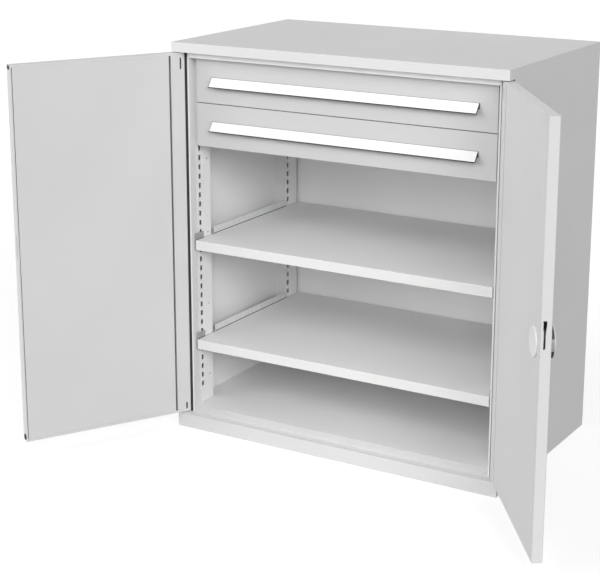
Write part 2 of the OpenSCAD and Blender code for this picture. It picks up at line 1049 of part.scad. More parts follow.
module lower_rod() {
  pin_z = lock_z + pin_near;
  half = rod_flat_w / 2;
  color(zinc)
    on_right_door() {
      rod_end(lower_rod_x, -1, pin_z);
      block(
        [lower_rod_x - half, rod_y - rod_flat / 2, lock_z - flat_end],
        [lower_rod_x + half, rod_y + rod_flat / 2, pin_z - cam_pin_d / 2 - cam_play]
      );
      round_bar(lower_rod_x, rod_y, rod_d, door_z0 + rod_back, lock_z - flat_end + rod_flat);
    }
}

// The bolt slides out of the free edge towards the other door.
module lock_bolt() {
  low_y = bolt_y - bolt_t / 2;
  high_y = bolt_y + bolt_t / 2;
  half = cam_pin_d / 2 + cam_play;
  end_x = lock_x + pin_near;
  nose_x = door_x0 + 1;
  color(black)
    on_right_door() {
      difference() {
        block(
          [end_x - half - slot_wall, low_y, lock_z + bolt_low],
          [end_x + half + slot_wall, high_y, lock_z + arm_high]
        );
        block(
          [end_x - half, low_y - cut_past, lock_z + pin_near - half],
          [end_x + half, high_y + cut_past, lock_z + cam_r + half]
        );
      }
      block([nose_x, low_y, lock_z + arm_low], [end_x - half, high_y, lock_z + arm_high]);
      difference() {
        block([nose_x, low_y, lock_z + bolt_low], [bolt_head_x, high_y, lock_z + bolt_high]);
        block(
          [nose_x + hook_in, low_y - cut_past, lock_z + bolt_low - cut_past],
          [nose_x + hook_in + hook_w, high_y + cut_past, lock_z + arm_low - hook_roof]
        );
      }
    }
}

// --- Drawers ------------------------------------------------------------------------

// The front is a shallow tray turned to the back, with a rim the walls are fixed to.
module drawer_front(z) {
  high = z + drawer_front_h;
  low_y = drawer_front_deep;
  high_y = tray_y;
  color(inside_grey)
    placed()
      difference() {
        block([-front_x, low_y, z], [front_x, high_y, high]);
        block(
          [-front_x + drawer_sheet, low_y + drawer_sheet, z + drawer_sheet],
          [front_x - drawer_sheet, high_y - drawer_sheet, high - drawer_sheet]
        );
        block(
          [-front_x + front_rim, low_y + drawer_sheet, z + front_rim],
          [front_x - front_rim, high_y + 1, high - front_rim]
        );
      }
}

module drawer_tray(z) {
  low = z + tray_up;
  high = low + tray_h;
  y1 = drawer_end;
  wall = drawer_sheet;
  color(inside_grey)
    placed()
      difference() {
        block([-tray_x, tray_y, low], [tray_x, y1, high]);
        block(
          [-tray_x + wall, tray_y + wall, low + wall],
          [tray_x - wall, y1 - wall, high - hem_h]
        );
        block(
          [-tray_x + tray_hem, tray_y + tray_hem, low + wall],
          [tray_x - tray_hem, y1 - tray_hem, high + 1]
        );
      }
}

// The grip is a strip that slopes forwards and down from the front.
module drawer_grip(z) {
  top = z + drawer_front_h - grip_top;
  y0 = drawer_front_deep - grip_out;
  y1 = drawer_front_deep;
  slope_t = grip_sheet * norm([grip_out, grip_h]) / grip_out;
  color(grip_white)
    placed() {
      crosswise(grip_l / 2)
        polygon([[y1, top], [y0, top - grip_h], [y0, top - grip_h - slope_t], [y1, top - slope_t]]);
      block([-grip_l / 2, y1 - grip_sheet, top - grip_leg], [grip_l / 2, y1, top - slope_t]);
    }
}

// The runners are nested channels; the widths are measured from the post inwards.
module runner_channel(web, edge, half_h, z) {
  y0 = runner_y;
  y1 = drawer_end;
  web_far = web < edge ? web + runner_sheet : web - runner_sheet;
  low_web = min(web, web_far);
  high_web = max(web, web_far);
  low_all = min(web, edge);
  high_all = max(web, edge);
  both_sides() {
    block([post_x - high_web, y0, z - half_h], [post_x - low_web, y1, z + half_h]);
    for (side = [-1, 1])
      translate([post_x - high_all, y0, z + side * (half_h - runner_sheet / 2) - runner_sheet / 2])
        cube([high_all - low_all, y1 - y0, runner_sheet]);
  }
}

module fixed_runners(z) {
  color(zinc)
    placed()
      runner_channel(0, fixed_flange, runner_h / 2, z + runner_up);
}

module middle_runners(z) {
  color(zinc)
    placed()
      runner_channel(middle_in, middle_flange, runner_h / 2 - middle_in, z + runner_up);
}

module inner_runners(z) {
  color(zinc)
    placed()
      runner_channel(runner_t, runner_t - inner_flange, runner_h / 2 - 2 * middle_in, z + runner_up);
}

module upper_fixed_runners() { fixed_runners(upper_front_z); }
module lower_fixed_runners() { fixed_runners(lower_front_z); }
module upper_middle_runners() { middle_runners(upper_front_z); }
module lower_middle_runners() { middle_runners(lower_front_z); }
module upper_drawer_front() { drawer_front(upper_front_z); }
module upper_drawer_tray() { drawer_tray(upper_front_z); }
module upper_drawer_grip() { drawer_grip(upper_front_z); }
module upper_drawer_runners() { inner_runners(upper_front_z); }
module lower_drawer_front() { drawer_front(lower_front_z); }
module lower_drawer_tray() { drawer_tray(lower_front_z); }
module lower_drawer_grip() { drawer_grip(lower_front_z); }
module lower_drawer_runners() { inner_runners(lower_front_z); }

top_panel();
top_rail();
plinth();
floor_panel();
floor_support();
rear_base_rail();
back_panel();
left_side_panel();
right_side_panel();
left_stile();
right_stile();
front_left_post();
front_right_post();
rear_left_post();
rear_right_post();
upper_shelf();
lower_shelf();
upper_left_hanger();
upper_right_hanger();
lower_left_hanger();
lower_right_hanger();
hinge_pins();
upper_fixed_runners();
lower_fixed_runners();
upper_middle_runners();
lower_middle_runners();
left_door_shell();
left_door_liner();
left_hinge_strip();
door_plugs();
left_hinge_bushes();
right_door_shell();
right_door_liner();
right_hinge_strip();
right_hinge_bushes();
lock_dish();
lock_cap();
lock_case();
rod_guides();
lock_handle();
lock_cam();
lock_cylinder();
upper_rod();
lower_rod();
lock_bolt();
upper_drawer_front();
upper_drawer_tray();
upper_drawer_grip();
upper_drawer_runners();
lower_drawer_front();
lower_drawer_tray();
lower_drawer_grip();
lower_drawer_runners();
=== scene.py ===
import json
import math
import bmesh
import bpy
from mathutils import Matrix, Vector

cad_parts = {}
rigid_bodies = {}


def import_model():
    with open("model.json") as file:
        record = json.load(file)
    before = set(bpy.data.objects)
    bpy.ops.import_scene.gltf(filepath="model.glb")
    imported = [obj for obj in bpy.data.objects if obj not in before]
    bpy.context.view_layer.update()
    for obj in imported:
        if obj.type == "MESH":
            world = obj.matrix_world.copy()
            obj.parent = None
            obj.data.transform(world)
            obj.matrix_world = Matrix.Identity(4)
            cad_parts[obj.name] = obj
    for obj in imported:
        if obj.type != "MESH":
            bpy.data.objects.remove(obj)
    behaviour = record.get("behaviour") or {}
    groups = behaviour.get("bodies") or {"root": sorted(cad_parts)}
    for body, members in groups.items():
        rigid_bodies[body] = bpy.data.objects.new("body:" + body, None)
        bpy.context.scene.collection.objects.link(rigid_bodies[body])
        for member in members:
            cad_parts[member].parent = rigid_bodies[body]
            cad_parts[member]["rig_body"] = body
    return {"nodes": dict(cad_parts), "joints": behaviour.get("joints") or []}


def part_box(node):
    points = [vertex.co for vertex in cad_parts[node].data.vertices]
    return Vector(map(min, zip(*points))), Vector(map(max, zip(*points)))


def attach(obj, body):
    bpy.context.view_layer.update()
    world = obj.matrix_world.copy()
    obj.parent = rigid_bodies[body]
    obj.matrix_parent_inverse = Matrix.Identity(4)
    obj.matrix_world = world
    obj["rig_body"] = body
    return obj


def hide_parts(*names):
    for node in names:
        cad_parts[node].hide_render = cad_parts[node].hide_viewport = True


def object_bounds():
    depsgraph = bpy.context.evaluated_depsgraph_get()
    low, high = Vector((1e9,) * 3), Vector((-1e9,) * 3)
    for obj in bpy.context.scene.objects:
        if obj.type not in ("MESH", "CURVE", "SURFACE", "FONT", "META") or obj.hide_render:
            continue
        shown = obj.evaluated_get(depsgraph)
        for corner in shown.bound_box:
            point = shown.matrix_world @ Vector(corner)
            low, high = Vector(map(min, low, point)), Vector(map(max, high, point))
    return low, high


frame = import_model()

cad_box = [list(corner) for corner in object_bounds()]


# Studio: a pale floor that runs out to a white surround, lit softly from the front and both
# sides. The camera stands to the right of the cabinet, at eye height, and looks down at it.
scene = bpy.context.scene
scene.view_settings.view_transform = "Standard"
camera = bpy.data.objects.new("camera", bpy.data.cameras.new("camera"))
scene.collection.objects.link(camera)
scene.camera = camera
camera.data.sensor_width = 36
camera.data.lens = 95.21
camera.data.shift_y = -0.08
camera.data.clip_start = 0.1
camera.data.clip_end = 100
camera_yaw = math.radians(31.081)
camera_pitch = math.radians(14.791)
camera_back = Vector((
    math.sin(camera_yaw) * math.cos(camera_pitch),
    -math.cos(camera_yaw) * math.cos(camera_pitch),
    math.sin(camera_pitch),
))
camera.location = (1.824, -3.4333, 1.5139)
camera.rotation_mode = "QUATERNION"
camera.rotation_quaternion = (-camera_back).to_track_quat("-Z", "Y")

surround = bpy.data.worlds.new("studio_surround")
scene.world = surround
surround.use_nodes = True
surround_tree = surround.node_tree
surround_tree.nodes.clear()
soft_light = surround_tree.nodes.new("ShaderNodeBackground")
soft_light.inputs["Color"].default_value = (1.0, 1.0, 1.0, 1)
soft_light.inputs["Strength"].default_value = 0.37
seen_white = surround_tree.nodes.new("ShaderNodeBackground")
seen_white.inputs["Color"].default_value = (1.0, 1.0, 1.0, 1)
seen_white.inputs["Strength"].default_value = 1.0
surround_ray = surround_tree.nodes.new("ShaderNodeLightPath")
seen = surround_tree.nodes.new("ShaderNodeMath")
seen.operation = "MAXIMUM"
mirrored = surround_tree.nodes.new("ShaderNodeMath")
mirrored.operation = "MAXIMUM"
choose = surround_tree.nodes.new("ShaderNodeMixShader")
surround_out = surround_tree.nodes.new("ShaderNodeOutputWorld")
surround_tree.links.new(surround_ray.outputs["Is Glossy Ray"], mirrored.inputs[0])
surround_tree.links.new(surround_ray.outputs["Is Transmission Ray"], mirrored.inputs[1])
surround_tree.links.new(surround_ray.outputs["Is Camera Ray"], seen.inputs[0])
surround_tree.links.new(mirrored.outputs[0], seen.inputs[1])
surround_tree.links.new(seen.outputs[0], choose.inputs[0])
surround_tree.links.new(soft_light.outputs[0], choose.inputs[1])
surround_tree.links.new(seen_white.outputs[0], choose.inputs[2])
surround_tree.links.new(choose.outputs[0], surround_out.inputs["Surface"])


def studio_lamp(name, azimuth, elevation, strength, spread):
    """A broad lamp far away, placed by its bearing from the front, to the right, and its height."""
    lamp = bpy.data.lights.new(name, "SUN")
    lamp.energy = strength
    lamp.angle = math.radians(spread)
    stand = bpy.data.objects.new(name, lamp)
    scene.collection.objects.link(stand)
    bearing = math.radians(azimuth)
    rise = math.radians(elevation)
    towards = Vector((
        math.sin(bearing) * math.cos(rise),
        -math.cos(bearing) * math.cos(rise),
        math.sin(rise),
    ))
    stand.rotation_mode = "QUATERNION"
    stand.rotation_quaternion = towards.to_track_quat("Z", "Y")


studio_lamp("lamp_right", azimuth=49, elevation=20, strength=0.91, spread=20)
studio_lamp("lamp_right_high", azimuth=35, elevation=30, strength=0.72, spread=30)
studio_lamp("lamp_front", azimuth=20, elevation=12, strength=0.47, spread=25)
studio_lamp("lamp_left", azimuth=-34, elevation=22, strength=1.15, spread=40)
studio_lamp("lamp_left_side", azimuth=-60, elevation=15, strength=0.48, spread=40)
studio_lamp("lamp_behind", azimuth=195, elevation=8, strength=0.55, spread=50)

floor_half = 30.0
floor_below = 0.0005
floor_mesh = bpy.data.meshes.new("studio_floor")
floor_mesh.from_pydata(
    [(-floor_half, -floor_half, 0), (floor_half, -floor_half, 0),
     (floor_half, floor_half, 0), (-floor_half, floor_half, 0)],
    [], [(0, 1, 2, 3)])
studio_floor = bpy.data.objects.new("studio_floor", floor_mesh)
scene.collection.objects.link(studio_floor)
studio_floor.location.z = cad_box[0][2] - floor_below
floor_material = bpy.data.materials.new("studio_floor")
floor_material.use_nodes = True
floor_tree = floor_material.node_tree
floor_tree.nodes.clear()
matt = floor_tree.nodes.new("ShaderNodeBsdfDiffuse")
matt.inputs["Color"].default_value = (0.45, 0.45, 0.45, 1)
lift = floor_tree.nodes.new("ShaderNodeEmission")
floor_ray = floor_tree.nodes.new("ShaderNodeLightPath")
floor_white = floor_tree.nodes.new("ShaderNodeMath")
floor_white.operation = "MULTIPLY"
floor_white.inputs[1].default_value = 0.66
both = floor_tree.nodes.new("ShaderNodeAddShader")
floor_out = floor_tree.nodes.new("ShaderNodeOutputMaterial")
floor_tree.links.new(floor_ray.outputs["Is Camera Ray"], floor_white.inputs[0])
floor_tree.links.new(floor_white.outputs[0], lift.inputs["Strength"])
floor_tree.links.new(matt.outputs[0], both.inputs[0])
floor_tree.links.new(lift.outputs[0], both.inputs[1])
floor_tree.links.new(both.outputs[0], floor_out.inputs["Surface"])
floor_mesh.materials.append(floor_material)


# Top panel and the rail under it: the top is one steel sheet, folded down at the front into a
# hollow nose and at the back into a flange. The rail is folded too and closes the space between
# the nose and the upper drawer. Both are welded to the sides and powder-coated.
def powder_coat(name, colour, rough=0.72, grain=0.05, blotch=0.02, uneven=0.04):
    """Fine-grained matt coat on object coordinates, with a faint drift in tone."""
    material = bpy.data.materials.new(name)
    material.use_nodes = True
    tree = material.node_tree
    shader = tree.nodes["Principled BSDF"]
    place = tree.nodes.new("ShaderNodeTexCoord")
    drift = tree.nodes.new("ShaderNodeTexNoise")
    drift.inputs["Scale"].default_value = 3.5
    drift.inputs["Detail"].default_value = 3
    tone = tree.nodes.new("ShaderNodeValToRGB")
    tone.color_ramp.elements[0].position = 0.3
    tone.color_ramp.elements[1].position = 0.7
    tone.color_ramp.elements[0].color = [*(c * (1 - blotch) for c in colour), 1]
    tone.color_ramp.elements[1].color = [*(min(1, c * (1 + blotch)) for c in colour), 1]
    speck = tree.nodes.new("ShaderNodeTexNoise")
    speck.inputs["Scale"].default_value = 900
    speck.inputs["Detail"].default_value = 2
    peel = tree.nodes.new("ShaderNodeTexNoise")
    peel.inputs["Scale"].default_value = 260
    peel.inputs["Detail"].default_value = 1
    height = tree.nodes.new("ShaderNodeMath")
    height.operation = "ADD"
    bump = tree.nodes.new("ShaderNodeBump")
    bump.inputs["Strength"].default_value = grain
    bump.inputs["Distance"].default_value = 0.0004
    gloss = tree.nodes.new("ShaderNodeMapRange")
    gloss.inputs["To Min"].default_value = rough - uneven
    gloss.inputs["To Max"].default_value = rough + uneven
    for pattern in (drift, speck, peel):
        tree.links.new(place.outputs["Object"], pattern.inputs["Vector"])
    tree.links.new(drift.outputs["Fac"], tone.inputs["Fac"])
    tree.links.new(tone.outputs["Color"], shader.inputs["Base Color"])
    tree.links.new(speck.outputs["Fac"], height.inputs[0])
    tree.links.new(peel.outputs["Fac"], height.inputs[1])
    tree.links.new(height.outputs[0], bump.inputs["Height"])
    tree.links.new(bump.outputs["Normal"], shader.inputs["Normal"])
    tree.links.new(peel.outputs["Fac"], gloss.inputs["Value"])
    tree.links.new(gloss.outputs["Result"], shader.inputs["Roughness"])
    shader.inputs["Specular IOR Level"].default_value = 0.15
    return material


nodes = frame["nodes"]
same_point = 0.00001
flat_angle = math.radians(0.5)
fold_angle = math.radians(40)


def rounded_sheet(node, bend, material, steps=2, name=None, cuts=(), turned=False):
    """A copy of a CAD sheet with its doubles merged and its folds and edges rounded.

    cuts are (point, normal) planes that part its faces, so that they can take two materials.
    A turned or moulded piece is shaded smooth, a flat sheet isn't."""
    title = name or node + "_sheet"
    source = nodes[node]
    mesh = bpy.data.meshes.new(title)
    form = bmesh.new()
    form.from_mesh(source.data)
    bmesh.ops.remove_doubles(form, verts=form.verts, dist=same_point)
    bmesh.ops.dissolve_limit(form, angle_limit=flat_angle, verts=form.verts, edges=form.edges)
    for point, normal in cuts:
        everything = [*form.verts, *form.edges, *form.faces]
        bmesh.ops.bisect_plane(form, geom=everything, plane_co=point, plane_no=normal)
    form.to_mesh(mesh)
    form.free()
    mesh.materials.clear()
    mesh.materials.append(material)
    sheet = bpy.data.objects.new(title, mesh)
    scene.collection.objects.link(sheet)
    edge = sheet.modifiers.new("folds", "BEVEL")
    edge.width = bend
    edge.segments = steps
    edge.limit_method = "ANGLE"
    edge.angle_limit = fold_angle
    edge.use_clamp_overlap = True
    edge.harden_normals = turned
    for face in mesh.polygons:
        face.use_smooth = turned
    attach(sheet, source["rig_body"])
    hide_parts(node)
    return sheet


top_bend = 0.0007
body_coat = powder_coat("body_coat", (0.66, 0.66, 0.66))
# The rail's coat is a lighter copy of the body's: painted light on the strip under the nose, which
# lies in the nose's shadow.
rail_painted_light = powder_coat("rail_painted_light", (0.86, 0.86, 0.86))
for node, coat in (("top_panel", body_coat), ("top_rail", rail_painted_light)):
    piece = rounded_sheet(node, top_bend, coat)


# Plinth and rear base rail: folded steel sheets, welded between the sides, that close the body at
# the foot, front and back. The plinth carries the ledge that the doors' lower pins stand in, and
# the ledge's top is painted lighter, as painted light on a face that looks up.
squarely = 0.9


def recoloured(piece, material, wanted):
    """Gives the faces for which wanted(centre, normal) holds a second material."""
    piece.data.materials.append(material)
    for face in piece.data.polygons:
        if wanted(face.center, face.normal):
            face.material_index = len(piece.data.materials) - 1


plinth_bend = 0.0007
# A lighter copy of the body's coat: painted light on the ledge's top.
ledge_painted_light = powder_coat("ledge_painted_light", (0.76, 0.76, 0.76))
for node in ("plinth", "rear_base_rail"):
    piece = rounded_sheet(node, plinth_bend, body_coat)
    if node == "plinth":
        recoloured(piece, ledge_painted_light, lambda centre, normal: normal.z > squarely)


# Sides and back: flat steel sheets. The sides are folded in round the back, and the back panel is
# let in between them and welded. The inward faces carry a lighter copy of the body's coat, as
# painted light in the shaded inside.
side_bend = 0.0007
# A lighter copy of the body's coat: painted light on the shaded inward faces.
inside_painted_light = powder_coat("inside_painted_light", (0.86, 0.86, 0.86))
for node, inward in (
    ("left_side_panel", Vector((1, 0, 0))),
    ("right_side_panel", Vector((-1, 0, 0))),
    ("back_panel", Vector((0, -1, 0))),
):
    piece = rounded_sheet(node, side_bend, body_coat)
    recoloured(piece, inside_painted_light, lambda centre, normal: normal.dot(inward) > squarely)


# Floor: a folded tray of sheet steel that lies on the folds of the sides and on the base rail.
# It carries the inside's painted light, and its front lip is painted darker, as painted shade in
# the recess behind the plinth's ledge.
floor_bend = 0.0007
# A darker copy of the coat: painted shade on the floor's front lip.
lip_painted_shade = powder_coat("lip_painted_shade", (0.57, 0.57, 0.57))
piece = rounded_sheet("floor_panel", floor_bend, inside_painted_light)
recoloured(piece, lip_painted_shade, lambda centre, normal: normal.y < -squarely)


# Stiles: folded strips welded to the front edges of the sides, which the doors close on. The web
# behind a door's hinge edge lies in a deep gap, and it is painted near-black there, as painted
# shade.
stile_bend = 0.0006
web_behind_front = 0.006
web_from_middle = 0.424
# A lighter copy of the body's coat: painted light that makes up for the shade of the stiles'
# recess.
stile_painted_light = powder_coat("stile_painted_light", (0.74, 0.74, 0.74))
# Near-black painted shade for deep gaps: the stile's web behind a door's hinge edge, and the line
# along each shelf on the hangers.
painted_gap_shade = powder_coat("painted_gap_shade", (0.10, 0.10, 0.10))


def web_with_painted_shade(centre, normal):
    """The part of a stile that faces forwards, behind the edge of its door, which takes painted
    shade.
    """
    return normal.y < -squarely and centre.y > web_y and abs(centre.x) > web_from_middle


for node in ("left_stile", "right_stile"):
    web_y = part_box(node)[0].y + web_behind_front
    piece = rounded_sheet(node, stile_bend, stile_painted_light)
    recoloured(piece, painted_gap_shade, web_with_painted_shade)


# Posts: folded strips welded to the sides near the front and the back, punched with a column of
# slots for the shelf hangers. They carry the inside's painted light, and the body's coat on the
# front.
post_bend = 0.0003
for node in ("front_left_post", "front_right_post", "rear_left_post", "rear_right_post"):
    piece = rounded_sheet(node, post_bend, inside_painted_light, steps=1)
    recoloured(piece, body_coat, lambda centre, normal: normal.y < -squarely)


# Shelves: trays folded from sheet steel and turned upside down, which lie on the hangers. They
# are coated in a lighter tone than the body, and their tops carry the inside's painted light,
# lighter where they face up.
shelf_bend = 0.0007
shelf_coat = powder_coat("shelf_coat", (0.73, 0.73, 0.725), rough=0.66)
for node in ("upper_shelf", "lower_shelf"):
    piece = rounded_sheet(node, shelf_bend, shelf_coat)
    recoloured(piece, inside_painted_light, lambda centre, normal: normal.z > squarely)


# Shelf hangers and the channel under the floor: bent from zinc-plated sheet. A hanger hooks into
# the slots of two posts and holds one end of a shelf. Its front hook is painted darker, as a
# painted dark reflection in the zinc, and along the shelf a painted shadow shows as a dark line on
# the hanger.
def plated_steel(name, colour, rough=0.38, streak=(4, 90, 4), metallic=0.85, uneven=0.07):
    """Plated sheet steel with streaks from rolling and slightly uneven gloss."""
    material = bpy.data.materials.new(name)
    material.use_nodes = True
    tree = material.node_tree
    shader = tree.nodes["Principled BSDF"]
    place = tree.nodes.new("ShaderNodeTexCoord")
    stretch = tree.nodes.new("ShaderNodeMapping")
    stretch.inputs["Scale"].default_value = streak
    grain = tree.nodes.new("ShaderNodeTexNoise")
    grain.inputs["Scale"].default_value = 6
    grain.inputs["Detail"].default_value = 4
    tone = tree.nodes.new("ShaderNodeValToRGB")
    tone.color_ramp.elements[0].position = 0.35
    tone.color_ramp.elements[1].position = 0.65
    tone.color_ramp.elements[0].color = [*(c * 0.9 for c in colour), 1]
    tone.color_ramp.elements[1].color = [*(min(1, c * 1.06) for c in colour), 1]
    gloss = tree.nodes.new("ShaderNodeMapRange")
    gloss.inputs["To Min"].default_value = rough - uneven
    gloss.inputs["To Max"].default_value = rough + uneven
    bump = tree.nodes.new("ShaderNodeBump")
    bump.inputs["Strength"].default_value = 0.06
    bump.inputs["Distance"].default_value = 0.0002
    tree.links.new(place.outputs["Object"], stretch.inputs["Vector"])
    tree.links.new(stretch.outputs["Vector"], grain.inputs["Vector"])
    tree.links.new(grain.outputs["Fac"], tone.inputs["Fac"])
    tree.links.new(tone.outputs["Color"], shader.inputs["Base Color"])
    tree.links.new(grain.outputs["Fac"], gloss.inputs["Value"])
    tree.links.new(gloss.outputs["Result"], shader.inputs["Roughness"])
    tree.links.new(grain.outputs["Fac"], bump.inputs["Height"])
    tree.links.new(bump.outputs["Normal"], shader.inputs["Normal"])
    shader.inputs["Metallic"].default_value = metallic
    return material


hanger_bend = 0.0003
clip_length = 0.0345
shadow_line_height = 0.0016
hanger_zinc = plated_steel("hanger_zinc", (0.78, 0.785, 0.79), metallic=0.25)
# A darker copy of the hanger's zinc: painted dark reflection on the front hook.
clip_painted_dark_reflection = plated_steel("clip_painted_dark_reflection", (0.42, 0.425, 0.43), metallic=0.25)
for level in ("upper", "lower"):
    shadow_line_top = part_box(level + "_shelf")[1].z + shadow_line_height
    for side in ("left", "right"):
        node = level + "_" + side + "_hanger"
        clip_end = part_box(node)[0].y + clip_length
        cuts = (
            (Vector((0, clip_end, 0)), Vector((0, 1, 0))),
            (Vector((0, 0, shadow_line_top)), Vector((0, 0, 1))),
        )
        piece = rounded_sheet(node, hanger_bend, hanger_zinc, steps=1, cuts=cuts)
        recoloured(piece, clip_painted_dark_reflection, lambda centre, normal: centre.y < clip_end)
        # The hanger's side faces below the line's top take painted shadow, a dark line along the
        # shelf.
        recoloured(piece, painted_gap_shade,
                   lambda centre, normal: abs(normal.x) > squarely and centre.z < shadow_line_top)
piece = rounded_sheet("floor_support", hanger_bend, hanger_zinc, steps=1)


# Hinge pins: turned from steel and zinc-plated, each with a collar. They are riveted into the
# nose and into the plinth, and the doors turn on them.
pin_edge = 0.0004
pin_steel = plated_steel("pin_steel", (0.50, 0.51, 0.52), rough=0.3, streak=(30, 30, 2))
piece = rounded_sheet("hinge_pins", pin_edge, pin_steel, turned=True)


# Doors: an outer shell of folded steel, an inner sheet and a strip at the hinge, with a groove
# between the two. The sheets are welded together and coated like the body.
door_bend = 0.0006
door_coat = powder_coat("door_coat", (0.67, 0.67, 0.67), rough=0.68)
for side in ("left", "right"):
    for part in ("door_shell", "door_liner", "hinge_strip"):
        piece = rounded_sheet(side + "_" + part, door_bend, door_coat)


# Plugs and hinge bushes: black moulded plastic, pressed into the punched holes of the doors. The
# plugs close the left door's free edge, and the bushes run on the pins.
def moulded_plastic(name, colour, rough=0.5, uneven=0.05):
    """Moulded plastic with a fine eroded grain."""
    material = bpy.data.materials.new(name)
    material.use_nodes = True
    tree = material.node_tree
    shader = tree.nodes["Principled BSDF"]
    place = tree.nodes.new("ShaderNodeTexCoord")
    grain = tree.nodes.new("ShaderNodeTexVoronoi")
    grain.inputs["Scale"].default_value = 1500
    cloud = tree.nodes.new("ShaderNodeTexNoise")
    cloud.inputs["Scale"].default_value = 40
    tone = tree.nodes.new("ShaderNodeValToRGB")
    tone.color_ramp.elements[0].color = [*(c * 0.9 for c in colour), 1]
    tone.color_ramp.elements[1].color = [*(min(1, c * 1.1) for c in colour), 1]
    gloss = tree.nodes.new("ShaderNodeMapRange")
    gloss.inputs["To Min"].default_value = rough - uneven
    gloss.inputs["To Max"].default_value = rough + uneven
    bump = tree.nodes.new("ShaderNodeBump")
    bump.inputs["Strength"].default_value = 0.1
    bump.inputs["Distance"].default_value = 0.0001
    tree.links.new(place.outputs["Object"], grain.inputs["Vector"])
    tree.links.new(place.outputs["Object"], cloud.inputs["Vector"])
    tree.links.new(cloud.outputs["Fac"], tone.inputs["Fac"])
    tree.links.new(tone.outputs["Color"], shader.inputs["Base Color"])
    tree.links.new(cloud.outputs["Fac"], gloss.inputs["Value"])
    tree.links.new(gloss.outputs["Result"], shader.inputs["Roughness"])
    tree.links.new(grain.outputs["Distance"], bump.inputs["Height"])
    tree.links.new(bump.outputs["Normal"], shader.inputs["Normal"])
    return material


moulded_edge = 0.0004
black_plastic = moulded_plastic("black_plastic", (0.03, 0.03, 0.032))
for node in ("door_plugs", "left_hinge_bushes", "right_hinge_bushes"):
    piece = rounded_sheet(node, moulded_edge, black_plastic, turned=True)


# Dish, grip bar and cap of the lock: moulded plastic. The dish is screwed on outside and has a
# pale rim round a dark hollow, which the grip bar crosses. The cap covers the works inside.
joints = {joint["name"]: joint for joint in frame["joints"]}
lock_axis = Vector(joints["handle_turn"]["axis"]).normalized()
lock_centre = Vector(joints["handle_turn"]["pos_m"])
dish_front = max((v.co - lock_centre).dot(lock_axis) for v in nodes["lock_dish"].data.vertices)
hollow_radius = 0.0302
rim_t = 0.0024
bar_half = 0.013
dish_edge = 0.0006
handle_edge = 0.0012
cap_edge = 0.0006
pale_plastic = moulded_plastic("pale_plastic", (0.62, 0.62, 0.62), rough=0.42)
cap_plastic = moulded_plastic("cap_plastic", (0.80, 0.80, 0.795), rough=0.42)
dish_black = moulded_plastic("dish_black", (0.035, 0.035, 0.037), rough=0.55)
bar_end_grey = moulded_plastic("bar_end_grey", (0.36, 0.36, 0.365), rough=0.5)


def dark_part_of_dish(centre, normal):
    """The hollow, and the wall behind the pale rim."""
    from_centre = centre - lock_centre
    along = from_centre.dot(lock_axis)
    across = (from_centre - along * lock_axis).length
    return across < hollow_radius or along < dish_front - rim_t


def bar_end_on_dish(centre, normal):
    """The grey part of the wall, level with the grip bar."""
    from_centre = centre - lock_centre
    along = from_centre.dot(lock_axis)
    across = (from_centre - along * lock_axis).length
    behind_rim = along < dish_front - rim_t
    return across > hollow_radius and behind_rim and abs(from_centre.z) < bar_half


dish_cuts = [(lock_centre + lock_axis * (dish_front - rim_t), lock_axis)]
for side in (-1, 1):
    dish_cuts.append((lock_centre + Vector((0, 0, side * bar_half)), Vector((0, 0, 1))))
for node, finish, edge, cuts in (
    ("lock_dish", pale_plastic, dish_edge, dish_cuts),
    ("lock_handle", pale_plastic, handle_edge, ()),
    ("lock_cap", cap_plastic, cap_edge, ()),
):
    piece = rounded_sheet(node, edge, finish, steps=3, cuts=cuts, turned=True)
    if node == "lock_dish":
        recoloured(piece, dish_black, dark_part_of_dish)
        recoloured(piece, bar_end_grey, bar_end_on_dish)


# Works of the lock, between the two sheets of the door: a case with a cam on the grip's shaft,
# the key cylinder and two rods of zinc-plated steel, and black moulded rod guides and bolt.
works_edge = 0.0002
lock_zinc = plated_steel("lock_zinc", (0.55, 0.56, 0.57), rough=0.33, streak=(20, 20, 20))
for node in ("lock_case", "lock_cam", "lock_cylinder", "upper_rod", "lower_rod"):
    piece = rounded_sheet(node, works_edge, lock_zinc, steps=1, turned=True)
for node in ("rod_guides", "lock_bolt"):
    piece = rounded_sheet(node, moulded_edge, black_plastic, turned=True)


# Drawers: a front and a tray, each folded from one steel sheet, then welded together. Their coat
# is a darker copy of the body's, as painted shade for fronts that sit recessed under the nose.
drawer_bend = 0.0005
drawer_painted_shade = powder_coat("drawer_painted_shade", (0.56, 0.56, 0.56), rough=0.68)
for level in ("upper", "lower"):
    for part in ("front", "tray"):
        piece = rounded_sheet(level + "_drawer_" + part, drawer_bend, drawer_painted_shade)


